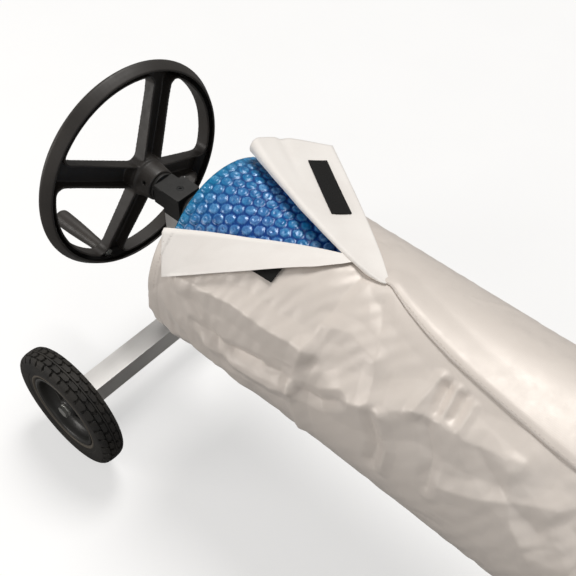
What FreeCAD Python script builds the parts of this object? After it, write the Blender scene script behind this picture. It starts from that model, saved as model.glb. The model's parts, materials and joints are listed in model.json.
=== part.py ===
import FreeCAD, Part
import math
import os

# Pool cover reel: a wheeled stand at each end, a turning tube with a bubble blanket rolled on it,
# a dished handwheel with a crank grip on the near end, and a fabric sleeve round the roll.
# Millimetres. +X runs along the reel from the handwheel to the far end, +Z is up, and the origin
# is on the ground, under the middle of the overall box.

V = FreeCAD.Vector

# ---------------------------------------------------------------- driving dimensions
reel_z = 498.0               # height of the reel's turning axis
tyre_r = 144.0
stand_spacing = 2228.0
grip_reach = 175.0           # from the handwheel's middle plane out to the grip's tip
handwheel_offset = 136.0     # from the handwheel's middle plane in to the near stand
overall_length = grip_reach + handwheel_offset + stand_spacing + tyre_r
wheel_plane_x = -overall_length / 2 + grip_reach
near_stand_x = wheel_plane_x + handwheel_offset
far_stand_x = near_stand_x + stand_spacing
stub_reach = 131.0           # spare end of the idle shaft, out from the far stand
stub_length = 57.0           # its last stretch is turned down a little, past a shoulder
stub_r = 12.5

bar_size = 50.0              # square aluminium tube of foot bars and uprights
bar_wall = 3.0
bar_half_length = 317.0
axle_z = tyre_r              # the foot bars lie level with the wheel axles
bar_top_z = axle_z + bar_size / 2

tyre_width = 54.0
wheel_mid_y = 353.0
bead_r = 84.0
rim_flange_r = 88.0

shaft_r = 12.7
bush_r = 16.0
running_gap = 0.06           # radial clearance of each turning fit
face_gap = 0.15              # axial clearance between turning faces
slip_gap = 0.02              # radial clearance of fixed parts that slide together

block_length = 46.0
block_width = 56.0
block_rise = 28.7            # top of the cap plate above the reel axis
block_height = 60.0
cap_plate = 5.0
cap_overhang = 1.5
nose_length = 28.0
nose_width = 53.0
block_base_z = reel_z + block_rise - block_height

tube_r = 38.0
tube_wall = 2.0
plug_flange = 4.0
plug_boss_r = 20.0
plug_depth = 50.0

blanket_r = 156.0
blanket_width = 1990.0
blanket_film = 0.8
blanket_pitch = 10.0         # one turn of bubble film with the air between turns
strap_thickness = 3.0

sleeve_r = 187.0
sleeve_skin = 2.5
sleeve_y = -23.0             # the loose sleeve hangs a little forward of and below the axis
sleeve_z = reel_z - 11.0
sleeve_length = 1964.0

rim_back = -24.0             # outboard face of the handwheel's rim, from its middle plane
window_r = 204.0
spoke_half = 24.5
window_corner = 16.0
hand_wall = 4.2
spoke_angles = [62.0 + 90.0 * k for k in range(4)]
grip_angle = 242.0
grip_radius = 210.0
grip_pad_back = rim_back - 1.0
grip_pad_front = -14.0       # seat of the grip bolt's nut, from the handwheel's middle plane

bolt_r = 4.0
bolt_gap = 0.2


# ---------------------------------------------------------------- helpers
def box(x0, x1, y0, y1, z0, z1):
    return Part.makeBox(x1 - x0, y1 - y0, z1 - z0, V(x0, y0, z0))


def rod(start, end, radius):
    direction = V(*end) - V(*start)
    return Part.makeCylinder(radius, direction.Length, V(*start), direction)


def ring(start, end, outer, inner):
    return rod(start, end, outer).cut(rod(start, end, inner))


def prism(points, direction):
    """Solid swept from a closed outline of points along a direction."""
    corners = [V(*p) for p in points]
    outline = Part.makePolygon(corners + [corners[0]])
    return Part.Face(outline).extrude(V(*direction))


def hexagon(start, end, across_flats):
    """Hexagonal prism from start to end, which lie on one of the row's axes."""
    direction = V(*end) - V(*start)
    turn = FreeCAD.Rotation(V(0, 0, 1), direction)
    radius = across_flats / math.sqrt(3)
    corners = []
    for k in range(6):
        angle = math.radians(60 * k + 30)
        corners.append(turn.multVec(V(radius * math.cos(angle), radius * math.sin(angle), 0)) + V(*start))
    return prism(corners, direction)


def turned(profile, origin, axis):
    """Solid turned from a closed (distance along axis, radius) outline."""
    direction = V(*axis)
    side = V(0, 0, 1)
    corners = [V(*origin) + direction * along + side * radius for along, radius in profile]
    face = Part.Face(Part.makePolygon(corners + [corners[0]]))
    return face.revolve(V(*origin), direction, 360)


def about_reel(profile, from_x):
    """Solid turned about the reel axis from (distance along X, radius) points."""
    return turned(profile, (from_x, 0, reel_z), (1, 0, 0))


def polar(x, angle, radius):
    a = math.radians(angle)
    return (x, radius * math.cos(a), reel_z + radius * math.sin(a))


def save(name, *shapes):
    solids = [s for shape in shapes for s in shape.Solids]
    whole = solids[0] if len(solids) == 1 else Part.makeCompound(solids)
    whole.exportStep("parts/" + name + ".step")


# ---------------------------------------------------------------- stands
def stand(end, x, out):
    """One T-shaped stand. out is the X direction that points away from the roll."""
    half = bar_size / 2
    inner = half - bar_wall

    bar = box(x - half, x + half, -bar_half_length, bar_half_length, axle_z - half, bar_top_z)
    reach = bar_half_length
    bar = bar.cut(box(x - inner, x + inner, -reach, reach, axle_z - inner, axle_z + inner))
    upright = box(x - half, x + half, -half, half, bar_top_z, block_base_z)
    upright = upright.cut(box(x - inner, x + inner, -inner, inner, bar_top_z, block_base_z))

    leg = 45.0
    plate = 4.0
    bracket_half = 22.0
    bolt_out = half + 27.0
    bolt_up = bar_top_z + 29.0
    brackets, bolts = [], []
    for side in (-1, 1):
        y_face = side * half
        outline = [
            (x - bracket_half, y_face, bar_top_z),
            (x - bracket_half, y_face + side * leg, bar_top_z),
            (x - bracket_half, y_face + side * leg, bar_top_z + plate),
            (x - bracket_half, y_face + side * (plate + 4), bar_top_z + plate),
            (x - bracket_half, y_face + side * plate, bar_top_z + plate + 4),
            (x - bracket_half, y_face + side * plate, bar_top_z + leg),
            (x - bracket_half, y_face, bar_top_z + leg),
        ]
        bracket = prism(outline, (2 * bracket_half, 0, 0))
        down = ((x, side * bolt_out, bar_top_z + plate), (x, side * bolt_out, bar_top_z - 14))
        across = ((x, y_face + side * plate, bolt_up), (x, side * (half - 14), bolt_up))
        for start, finish in (down, across):
            hole = rod(start, finish, bolt_r + bolt_gap)
            bracket = bracket.cut(hole)
            bar = bar.cut(hole)
            upright = upright.cut(hole)
        head_top = (x, side * bolt_out, bar_top_z + plate + 5.5)
        head_side = (x, y_face + side * (plate + 5.5), bolt_up)
        bolts.append(rod(*down, bolt_r).fuse(hexagon(down[0], head_top, 13.0)).removeSplitter())
        bolts.append(rod(*across, bolt_r).fuse(hexagon(across[0], head_side, 13.0)).removeSplitter())
        brackets.append(bracket)

    spigot = inner - 0.2
    top = reel_z + block_rise
    block_half = block_length / 2
    block = box(x - block_half, x + block_half, -block_width / 2, block_width / 2,
                block_base_z, top - cap_plate)
    block = block.fuse(box(x - spigot, x + spigot, -spigot, spigot, block_base_z - 30, block_base_z))
    bore = ((x - block_half, 0, reel_z), (x + block_half, 0, reel_z))
    block = block.cut(rod(*bore, bush_r + slip_gap)).removeSplitter()
    bush = ring(*bore, bush_r, shaft_r + running_gap)

    screw_r, screw_depth = 2.5, 6.0
    plate_half_x, plate_half_y = block_half + cap_overhang, block_width / 2 + cap_overhang
    cap = box(x - plate_half_x, x + plate_half_x, -plate_half_y, plate_half_y, top - cap_plate, top)
    upright_edges = [e for e in cap.Edges if abs(e.Vertexes[0].Z - e.Vertexes[1].Z) > 1]
    cap = cap.makeFillet(3.0, upright_edges)
    block = block.cut(rod((x, 0, top - cap_plate - screw_depth), (x, 0, top), screw_r + slip_gap))
    head_depth, head_r = 3.2, 6.6
    recess = ((x, 0, top - head_depth), (x, 0, top))
    cap = cap.cut(rod((x, 0, top - cap_plate), (x, 0, top), screw_r + bolt_gap))
    cap = cap.cut(rod(*recess, head_r + 0.8))
    screw = rod((x, 0, top - cap_plate - screw_depth + 0.5), (x, 0, top - 3), screw_r)
    screw = screw.fuse(rod((x, 0, top - head_depth), (x, 0, top - 0.3), head_r))
    screw = screw.cut(hexagon((x, 0, top - 2.6), (x, 0, top + 1), 6.6)).removeSplitter()

    nose_in, nose_out = x + out * block_half, x + out * (block_half + nose_length)
    nose = box(min(nose_in, nose_out), max(nose_in, nose_out), -nose_width / 2, nose_width / 2,
               reel_z - 24, reel_z + 21)
    long_edges = [e for e in nose.Edges if abs(e.Vertexes[0].X - e.Vertexes[1].X) > 1]
    nose = nose.makeFillet(3.0, long_edges).cut(rod((nose_in, 0, reel_z), (nose_out, 0, reel_z), 14.0))

    save(end + "_foot_bar", bar)
    save(end + "_upright", upright)
    save(end + "_bearing_block", block)
    save(end + "_bearing_bush", bush)
    save(end + "_block_cap_plate", cap)
    save(end + "_bearing_nose", nose)
    return brackets, bolts, screw


# ---------------------------------------------------------------- ground wheels
def ground_wheel(name, x, side):
    """One wheel with its axle bolt and washers. side is the Y direction that points away from the bar."""
    origin, axis = (x, side * wheel_mid_y, axle_z), (0, side, 0)
    half = tyre_width / 2

    right = [
        (0, tyre_r), (9, tyre_r - 0.4), (18, tyre_r - 2.5), (23.5, tyre_r - 8), (half - 0.5, tyre_r - 16),
        (half, tyre_r - 26), (half - 1, rim_flange_r + 14), (22.2, rim_flange_r + 5),
        (19.6, rim_flange_r + 0.5), (19.6, bead_r + 0.2),
    ]
    left = [(-along, radius) for along, radius in reversed(right[1:])]
    tyre = turned(right + left, origin, axis)

    boss_in, boss_out = -28.35, 12.35
    bush_bore_r, boss_r = 11.0, 21.0
    rim_in, rim_out = -22.5, 22.5
    hub_profile = [
        (boss_in, bush_bore_r), (boss_in, boss_r), (-12, boss_r + 2), (-13, 40), (-14, 62), (-10, 74),
        (rim_in + 2, 80), (rim_in, 84), (rim_in, rim_flange_r), (rim_in + 2.5, rim_flange_r),
        (rim_in + 2.7, bead_r), (rim_out - 2.7, bead_r), (rim_out - 2.5, rim_flange_r),
        (rim_out, rim_flange_r), (rim_out, 84), (rim_out - 3, 80), (6, 77), (-3, 72), (-7.5, 62),
        (-7, 40), (-4, boss_r + 4), (boss_out - 2, boss_r), (boss_out, boss_r - 2), (boss_out, bush_bore_r),
    ]
    hub = turned(hub_profile, origin, axis)
    rib_half = 2.2
    for k in range(5):
        slope = [(-6.5, boss_r - 4), (boss_out - 4, boss_r - 1), (1, 50), (-5, 68), (-9, 68)]
        outline = [V(x - rib_half, side * (wheel_mid_y + along), axle_z + radius) for along, radius in slope]
        rib = prism(outline, (2 * rib_half, 0, 0))
        rib.rotate(V(*origin), V(*axis), 72 * k + 20)
        hub = hub.fuse(rib)
    hub = hub.removeSplitter()

    def at(along, radius):
        return (x, side * (wheel_mid_y + along), axle_z + radius)

    axle_r, bush_length, flange, flange_r = 8.0, 16.0, 1.5, 14.0
    bushes = []
    for face, inward in ((boss_in, 1), (boss_out, -1)):
        sleeve = rod(at(face, 0), at(face + inward * bush_length, 0), bush_bore_r - slip_gap)
        collar = rod(at(face - inward * flange, 0), at(face, 0), flange_r)
        bore = rod(at(face - inward * flange, 0), at(face + inward * bush_length, 0), axle_r + running_gap)
        bushes.append(sleeve.fuse(collar).cut(bore).removeSplitter())

    washer, washer_r = 2.0, 15.0
    in_face = boss_in - flange - face_gap
    out_face = boss_out + flange + face_gap
    washers = [
        ring(at(in_face - washer, 0), at(in_face, 0), washer_r, axle_r + bolt_gap),
        ring(at(out_face, 0), at(out_face + washer, 0), washer_r, axle_r + bolt_gap),
    ]
    plug_out = in_face - washer
    shank_in = plug_out - 30.0
    bolt = rod(at(shank_in, 0), at(out_face + washer, 0), axle_r)
    bolt = bolt.fuse(hexagon(at(out_face + washer, 0), at(out_face + washer + 7.5, 0), 24.0)).removeSplitter()

    spigot, cover = bar_size / 2 - bar_wall - 0.2, bar_size / 2
    bar_end = bar_half_length
    flange_far = wheel_mid_y + plug_out
    low_y, high_y = sorted((side * bar_end, side * flange_far))
    plug = box(x - cover, x + cover, low_y, high_y, axle_z - cover, axle_z + cover)
    low_y, high_y = sorted((side * (bar_end - 28), side * bar_end))
    plug = plug.fuse(box(x - spigot, x + spigot, low_y, high_y, axle_z - spigot, axle_z + spigot))
    plug = plug.cut(rod((x, 0, axle_z), at(plug_out, 0), axle_r + slip_gap)).removeSplitter()

    save(name + "_tyre", tyre)
    save(name + "_wheel_hub", hub)
    save(name + "_wheel_bushes", *bushes)
    return bolt, washers, plug


# ---------------------------------------------------------------- turning reel
# Handwheel outlines run as (distance inboard of its middle plane, radius).
hub_flat, hub_back, hub_front = 46.0, 8.0, 38.0
dish_r, dish_x = 172.0, -13.0
rim_foot_r, rim_foot_x = window_r - 4, rim_back + 3


def handwheel_outside():
    """Outline of the dished wheel as if it were solid: cone from hub to rim, then the bevelled rim."""
    back = [(hub_back, 0), (hub_back, hub_flat), (dish_x, dish_r), (rim_foot_x, rim_foot_r),
            (rim_back, window_r + 2)]
    rim = [
        (rim_back, 214), (-23, 218.5), (-19.5, 223.8), (-14, 228.6), (-10.5, 231.2), (-8, 232.2),
        (-5.5, 231.5), (4, 226.2), (12.7, 220.8), (13.6, 219.4), (13.6, 216.8), (9, 211),
    ]
    front = [(8, window_r - 2), (14.3, 160), (hub_front, hub_flat), (hub_front, 0)]
    return back + rim + front


def handwheel_hollow():
    """Outline of the hollow that leaves a thin skin behind the spokes and round the rim."""
    open_face, channel_r = hub_front + 22, 216.2
    floor = [(hub_back + hand_wall, 0), (hub_back + hand_wall, hub_flat), (dish_x + hand_wall, dish_r),
             (rim_foot_x + hand_wall, rim_foot_r), (rim_back + hand_wall, window_r + 2)]
    rim_channel = [
        (rim_back + hand_wall, 213), (-18.5, 216), (-15.5, 219.8), (-11, 223.8), (-8, 226.2),
        (-5.5, 226.4), (4, 221.3), (11, channel_r), (open_face, channel_r), (open_face, 0),
    ]
    return floor + rim_channel


def windows(half_width, radius, corner):
    """The four openings between the spokes, as prisms along X with rounded corners."""
    found = []
    reach = 300.0
    depth = 160.0
    for angle in spoke_angles:
        square = box(-depth / 2, depth / 2, half_width, reach, half_width, reach)
        sector = square.common(rod((-depth / 2, 0, 0), (depth / 2, 0, 0), radius))
        edges = [e for e in sector.Edges if abs(e.Vertexes[0].X - e.Vertexes[-1].X) > 1]
        sector = sector.makeFillet(corner, edges)
        sector.rotate(V(0, 0, 0), V(1, 0, 0), angle)
        sector.translate(V(wheel_plane_x, 0, reel_z))
        found.append(sector)
    return found


def handwheel():
    boss_end, boss_base_r, boss_tip_r = 78.0, 38.5, 34.0
    body = about_reel(handwheel_outside(), wheel_plane_x)
    for opening in windows(spoke_half, window_r, window_corner):
        body = body.cut(opening)

    hollow = about_reel(handwheel_hollow(), wheel_plane_x)
    for opening in windows(spoke_half - hand_wall, window_r + hand_wall, window_corner + hand_wall):
        hollow = hollow.cut(opening)
    hub_core = about_reel([(-5, 0), (-5, 43), (34, 43), (38, 39), (boss_end + 10, 39), (boss_end + 10, 0)],
                          wheel_plane_x)
    grip_pad = rod(polar(wheel_plane_x + grip_pad_back, grip_angle, grip_radius),
                   polar(wheel_plane_x + grip_pad_front, grip_angle, grip_radius), 13.5)
    body = body.cut(hollow.cut(hub_core)).fuse(grip_pad)

    boss = about_reel([(30, 0), (30, boss_base_r + 4), (41, boss_base_r + 3.5), (44.5, boss_base_r),
                       (boss_end - 2, boss_tip_r), (boss_end, boss_tip_r - 2), (boss_end, 0)], wheel_plane_x)
    body = body.fuse(boss)
    shaft_hole = rod((wheel_plane_x - 60, 0, reel_z), (wheel_plane_x + 100, 0, reel_z), shaft_r + slip_gap)
    grip_hole = rod(polar(wheel_plane_x - 60, grip_angle, grip_radius),
                    polar(wheel_plane_x, grip_angle, grip_radius), 5.1)
    body = body.cut(shaft_hole).cut(grip_hole)

    screws = []
    for angle in (150.0, 330.0):
        x = wheel_plane_x + 62
        body = body.cut(rod(polar(x, angle, shaft_r), polar(x, angle, 45), 4.0 + slip_gap))
        screw = rod(polar(x, angle, shaft_r + 0.05), polar(x, angle, 31), 4.0)
        screws.append(screw.cut(rod(polar(x, angle, 27), polar(x, angle, 32), 2.0)))
    save("handwheel", body.removeSplitter())
    save("hub_set_screws", *screws)


def crank_grip():
    """Grip that turns on its own bolt, parallel to the reel axis, on the outer side of the handwheel."""
    face = wheel_plane_x + grip_pad_back
    washer_x = face - 2.2
    start = -washer_x + face_gap
    tip = -(wheel_plane_x - grip_reach)

    centre = polar(0, grip_angle, grip_radius)
    bolt_radius, head_socket_r = 5.0, 9.0
    bore_r = bolt_radius + running_gap
    cap_face, socket_floor = tip - 9, tip - 17
    grip_profile = [
        (start, bore_r), (start, 11.4), (start + 1.5, 12.4), (start + 30, 14.0), (start + 65, 16.6),
        (start + 95, 18.4), (tip - 24, 19.3), (tip - 14, 19.5), (cap_face, 19.3), (cap_face, head_socket_r),
        (socket_floor, head_socket_r), (socket_floor, bore_r),
    ]
    cap_profile = [
        (tip - 11, 0), (tip - 11, head_socket_r - 0.05), (cap_face, head_socket_r - 0.05), (cap_face, 19.3),
        (tip - 6.5, 18.5), (tip - 4, 16.8), (tip - 1.8, 13.2), (tip - 0.5, 7.5), (tip, 0),
    ]
    save("crank_grip", turned(grip_profile, centre, (-1, 0, 0)))
    save("grip_end_cap", turned(cap_profile, centre, (-1, 0, 0)))

    def at(x):
        return polar(x, grip_angle, grip_radius)

    nut_face = wheel_plane_x + grip_pad_front
    head_x = -(tip - 16.8)
    bolt = rod(at(head_x), at(nut_face + 10), bolt_radius).fuse(rod(at(head_x - 4.5), at(head_x), 8.0))
    save("grip_bolt", bolt.removeSplitter())
    nut = hexagon(at(nut_face), at(nut_face + 8), 17.0)
    save("grip_bolt_nut", nut.cut(rod(at(nut_face), at(nut_face + 8), bolt_radius + slip_gap)))
    save("grip_washer", ring(at(washer_x), at(face), 11.0, bolt_radius + 0.1))


def shaft_end(end, x, out):
    """Tube plug with its cross pin and screws at one end. Returns the X of the plug's outer flange face."""
    block_face = x - out * block_length / 2
    boss_face = block_face - out * face_gap
    flange_face = x - out * 40.0
    tube_end = flange_face - out * plug_flange
    plug_end = tube_end - out * plug_depth
    plug = rod((flange_face, 0, reel_z), (tube_end, 0, reel_z), tube_r)
    plug = plug.fuse(rod((boss_face, 0, reel_z), (flange_face, 0, reel_z), plug_boss_r))
    plug = plug.fuse(rod((tube_end, 0, reel_z), (plug_end, 0, reel_z), tube_r - tube_wall - 0.05))
    plug = plug.cut(rod((boss_face, 0, reel_z), (plug_end, 0, reel_z), shaft_r + slip_gap))

    pin_x, pin_half = tube_end - out * 30, 34.0
    pin = ((pin_x, 0, reel_z - pin_half), (pin_x, 0, reel_z + pin_half))
    plug = plug.cut(rod(*pin, 3.0 + slip_gap))
    screw_x = tube_end - out * 14
    screws, screw_holes = [], []
    for side in (-1, 1):
        head_y = side * (tube_r + 0.05)
        shank = ((screw_x, side * (tube_r - 15), reel_z), (screw_x, head_y, reel_z))
        head = rod((screw_x, head_y, reel_z), (screw_x, side * (tube_r + 3), reel_z), 4.5)
        screws.append(rod(*shank, 2.4).fuse(head).removeSplitter())
        hole = rod((screw_x, side * (tube_r - 16), reel_z), (screw_x, side * (tube_r + 2), reel_z), 2.42)
        plug = plug.cut(hole)
        screw_holes.append(hole)
    save(end + "_tube_plug", plug.removeSplitter())
    return tube_end, rod(*pin, 3.0), rod(*pin, 3.0 + slip_gap), screws, screw_holes


def rolled_film(start_x, inner_r, outer_r):
    """A film wound in half turns about two centres, half a pitch apart, so that it grows as it winds."""
    shift = blanket_pitch / 4
    half_turns = int((outer_r - inner_r - 2 * shift - blanket_film) / (blanket_pitch / 2)) + 1
    first_r = outer_r - shift - (half_turns - 1) * blanket_pitch / 2
    faces = []
    for side in (0.0, -blanket_film):
        run = []
        for k in range(half_turns):
            way = 1 if k % 2 == 0 else -1
            centre_y = -way * shift
            radius = first_r + k * blanket_pitch / 2 + side
            begin = V(start_x, centre_y + way * radius, reel_z)
            crown = V(start_x, centre_y, reel_z + way * radius)
            end = V(start_x, centre_y - way * radius, reel_z)
            run.append(Part.Arc(begin, crown, end).toShape())
        faces.append(run)
    outer_run, inner_run = faces
    first = Part.makeLine(outer_run[0].valueAt(outer_run[0].FirstParameter),
                          inner_run[0].valueAt(inner_run[0].FirstParameter))
    last = Part.makeLine(outer_run[-1].valueAt(outer_run[-1].LastParameter),
                         inner_run[-1].valueAt(inner_run[-1].LastParameter))
    outline = Part.Wire(Part.__sortEdges__(outer_run + inner_run + [first, last]))
    return Part.Face(outline).extrude(V(blanket_width, 0, 0))


# ---------------------------------------------------------------- fabric sleeve
def sleeve_point(x, angle, radius):
    a = math.radians(angle)
    return (x, sleeve_y + radius * math.cos(a), sleeve_z + radius * math.sin(a))


def cover_sleeve(middle_x):
    """Loose sleeve, open along a V at the near end where two corners are folded back on to it."""
    start_x, end_x = middle_x - sleeve_length / 2, middle_x + sleeve_length / 2

    def layer(outer, inner):
        """A full-length layer of the sleeve, with its seam line turned to the underside."""
        tube = ring((start_x, sleeve_y, sleeve_z), (end_x, sleeve_y, sleeve_z), outer, inner)
        tube.rotate(V(start_x, sleeve_y, sleeve_z), V(1, 0, 0), 180)
        return tube

    skin = layer(sleeve_r, sleeve_r - sleeve_skin)

    apex_x, apex_angle = start_x + 304, 96.0
    front_angle, back_angle = 135.0, 58.0
    apex_y = sleeve_point(0, apex_angle, sleeve_r)[1]
    front_y = sleeve_point(0, front_angle, sleeve_r)[1]
    back_y = sleeve_point(0, back_angle, sleeve_r)[1]
    up = (0, 0, 2 * sleeve_r)
    opening = prism([
        (start_x - 1, front_y, sleeve_z), (apex_x, apex_y, sleeve_z), (start_x - 1, back_y, sleeve_z)], up)
    skin = skin.cut(opening)

    front_corner = sleeve_point(start_x + 40, 155.0, sleeve_r)
    front_flap = layer(sleeve_r + sleeve_skin, sleeve_r).common(prism([
        (start_x, front_y, sleeve_z), (apex_x, apex_y, sleeve_z),
        (front_corner[0], front_corner[1], sleeve_z)], up))

    lift_angle, reach = 80.0, 172.0
    a = math.radians(lift_angle)
    _, lift_y, lift_z = sleeve_point(0, lift_angle, sleeve_r)
    normal, along = (math.cos(a), math.sin(a)), (math.sin(a), -math.cos(a))

    def on_panel(out, rise):
        """Point of the panel's end face, so far out along it and so far above its under face."""
        y = lift_y + along[0] * out + normal[0] * rise
        return (start_x, y, lift_z + along[1] * out + normal[1] * rise)

    panel_end = [on_panel(0, 0), on_panel(0, sleeve_skin), on_panel(reach, sleeve_skin), on_panel(reach, 0)]
    panel = prism(panel_end, (2 * (apex_x - start_x), 0, 0))
    curl = layer(sleeve_r + sleeve_skin, sleeve_r).common(
        box(start_x, end_x, -sleeve_r * 2, lift_y + 3, sleeve_z, sleeve_z + 2 * sleeve_r))
    back_flap = panel.fuse(curl).common(prism([
        (start_x + 4, back_y - 6, sleeve_z), (start_x + 102, lift_y + along[0] * reach, sleeve_z),
        (start_x + 372, apex_y + 6, sleeve_z), (apex_x + 8, apex_y + 3, sleeve_z)], up))
    save("cover_sleeve", skin.fuse(front_flap).fuse(back_flap).removeSplitter())

    pad, pad_width, pad_half, pad_turn = 2.0, 36.0, 72.0, -35.0
    pad_along, pad_out = 172.0, 69.0
    hook = box(-pad_half, pad_half, -pad_width / 2, pad_width / 2, 0, pad)
    hook.rotate(V(0, 0, 0), V(0, 0, 1), pad_turn)
    hook.rotate(V(0, 0, 0), V(1, 0, 0), lift_angle - 90)
    hook.translate(V(*on_panel(pad_out, sleeve_skin)) + V(pad_along, 0, 0))
    save("cover_hook_patch", hook)

    loop_start, loop_end = start_x + 138, start_x + 228
    loop_r = sleeve_r + sleeve_skin
    loop = ring((loop_start, sleeve_y, sleeve_z), (loop_end, sleeve_y, sleeve_z), loop_r + 2.2, loop_r)
    far_reach = 2 * sleeve_r
    wedge = prism([(loop_start, sleeve_y, sleeve_z), sleeve_point(loop_start, 124.5, far_reach),
                   sleeve_point(loop_start, 134.0, far_reach)], (loop_end - loop_start, 0, 0))
    save("cover_loop_patch", loop.common(wedge))


# ---------------------------------------------------------------- build
os.makedirs("parts", exist_ok=True)

near = stand("near", near_stand_x, -1)
far = stand("far", far_stand_x, 1)
save("upright_brackets", *near[0], *far[0])
save("bracket_bolts", *near[1], *far[1])
save("cap_plate_screws", near[2], far[2])

axle_bolts, axle_washers, end_plugs = [], [], []
for end, x in (("near", near_stand_x), ("far", far_stand_x)):
    for side_name, side in (("front", -1), ("back", 1)):
        bolt, washers, plug = ground_wheel(end + "_" + side_name, x, side)
        axle_bolts.append(bolt)
        axle_washers.extend(washers)
        end_plugs.append(plug)
save("wheel_axle_bolts", *axle_bolts)
save("wheel_axle_washers", *axle_washers)
save("foot_bar_end_plugs", *end_plugs)

handwheel()
crank_grip()

near_end = shaft_end("near", near_stand_x, -1)
far_end = shaft_end("far", far_stand_x, 1)
tube = ring((near_end[0], 0, reel_z), (far_end[0], 0, reel_z), tube_r, tube_r - tube_wall)
for hole in near_end[4] + far_end[4]:
    tube = tube.cut(hole)
save("reel_tube", tube)
save("shaft_cross_pins", near_end[1], far_end[1])
save("tube_plug_screws", *near_end[3], *far_end[3])

shaft_in_tube = 46.0
drive = rod((wheel_plane_x + 8, 0, reel_z), (near_end[0] + shaft_in_tube, 0, reel_z), shaft_r)
stub_end_x = far_stand_x + stub_reach
idle = rod((far_end[0] - shaft_in_tube, 0, reel_z), (stub_end_x - stub_length, 0, reel_z), shaft_r)
idle = idle.fuse(rod((stub_end_x - stub_length, 0, reel_z), (stub_end_x, 0, reel_z), stub_r))
save("drive_shaft", drive.cut(near_end[2]))
save("idle_shaft", idle.cut(far_end[2]))

boss_end_x = wheel_plane_x + 78.0
nose_x = near_stand_x - block_length / 2 - nose_length
spacer = ring((boss_end_x, 0, reel_z), (nose_x - face_gap, 0, reel_z), 29.0, shaft_r + slip_gap)
save("hub_spacer_collar", spacer)

far_nose_x = far_stand_x + block_length / 2 + nose_length
collar_start, collar_width, collar_r = far_nose_x + face_gap, 20.0, 22.0
collar_end = collar_start + collar_width
collar = ring((collar_start, 0, reel_z), (collar_end, 0, reel_z), collar_r, shaft_r + slip_gap)
screw_x = collar_start + collar_width / 2
collar = collar.cut(rod((screw_x, 0, reel_z + shaft_r), (screw_x, 0, reel_z + collar_r + 1), 3.0 + slip_gap))
save("idle_shaft_collar", collar)
save("collar_set_screw", rod((screw_x, 0, reel_z + shaft_r + 0.05), (screw_x, 0, reel_z + collar_r - 1), 3.0))

reel_mid_x = (near_stand_x + far_stand_x) / 2
roll_start = reel_mid_x - blanket_width / 2
core_r = tube_r + strap_thickness
save("blanket_roll", rolled_film(roll_start, core_r + 0.2, blanket_r))
straps = []
strap_width, strap_count = 40.0, 7
for k in range(strap_count):
    x = roll_start + 95 + (blanket_width - 190 - strap_width) * k / (strap_count - 1)
    straps.append(ring((x, 0, reel_z), (x + strap_width, 0, reel_z), core_r, tube_r + 0.1))
save("blanket_straps", *straps)

cover_sleeve(reel_mid_x)
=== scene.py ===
import bpy
import bmesh
import json
import math
import numpy as np
from mathutils import Matrix, Vector
from mathutils.bvhtree import BVHTree


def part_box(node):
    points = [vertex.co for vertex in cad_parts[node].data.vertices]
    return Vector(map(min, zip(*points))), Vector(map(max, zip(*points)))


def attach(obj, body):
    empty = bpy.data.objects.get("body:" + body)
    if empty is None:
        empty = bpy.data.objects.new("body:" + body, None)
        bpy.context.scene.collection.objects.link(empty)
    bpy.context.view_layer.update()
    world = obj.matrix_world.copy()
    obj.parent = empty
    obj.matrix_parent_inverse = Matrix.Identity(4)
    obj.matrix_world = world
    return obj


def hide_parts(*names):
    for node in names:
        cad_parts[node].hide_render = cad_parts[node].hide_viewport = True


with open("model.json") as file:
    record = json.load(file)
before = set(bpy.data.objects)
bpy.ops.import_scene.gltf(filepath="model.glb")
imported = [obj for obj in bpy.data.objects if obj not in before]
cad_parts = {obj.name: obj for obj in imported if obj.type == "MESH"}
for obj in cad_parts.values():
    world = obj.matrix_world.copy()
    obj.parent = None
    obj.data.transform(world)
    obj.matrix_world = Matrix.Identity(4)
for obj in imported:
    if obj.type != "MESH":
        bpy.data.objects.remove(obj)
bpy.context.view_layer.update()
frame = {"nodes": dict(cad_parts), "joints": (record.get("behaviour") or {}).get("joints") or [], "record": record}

MM = 0.001

# ---------- places taken from the frame
JOINT = {j["name"]: j for j in frame["joints"]}
REEL_Z = JOINT["reel_spin"]["pos_m"][2]
NEAR_X = JOINT["near_front_wheel_spin"]["pos_m"][0]
HANDWHEEL_PLANE_X = NEAR_X - 136 * MM
SLEEVE_LOW, SLEEVE_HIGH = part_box("cover_sleeve")
ROLL_LOW, ROLL_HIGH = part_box("blanket_roll")


def added(name, data):
    """A new object of the scene."""
    thing = bpy.data.objects.new(name, data)
    bpy.context.scene.collection.objects.link(thing)
    return thing


def shown(name, points, faces):
    """A new mesh object from points and faces."""
    mesh = bpy.data.meshes.new(name)
    mesh.from_pydata([tuple(p) for p in points], [], faces)
    mesh.update()
    return added(name, mesh)


def ring_faces(one, two, count):
    """Faces between two closed rings of points, from the number of the first point of each."""
    return [(one + k, one + (k + 1) % count, two + (k + 1) % count, two + k) for k in range(count)]


def set_values(piece, name, values):
    """Stores one number per point, for the materials and for later steps."""
    spots = piece.data.attributes.new(name, "FLOAT", "POINT")
    spots.data.foreach_set("value", np.array(values, np.float32))


def stand_in(piece, node, body):
    """Lets a piece take the place of a CAD node."""
    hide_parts(node)
    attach(piece, body)


def smooth(piece, angle=None):
    """Shades a piece smooth, with edges sharper than the angle (degrees) kept crisp."""
    for polygon in piece.data.polygons:
        polygon.use_smooth = True
    if angle is not None:
        piece.data.set_sharp_from_angle(angle=math.radians(angle))


def apply_modifiers(piece):
    """Replaces a piece's mesh with its mesh after all modifiers."""
    evaluated = piece.evaluated_get(bpy.context.evaluated_depsgraph_get())
    mesh = bpy.data.meshes.new_from_object(evaluated)
    piece.modifiers.clear()
    piece.data = mesh


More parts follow.
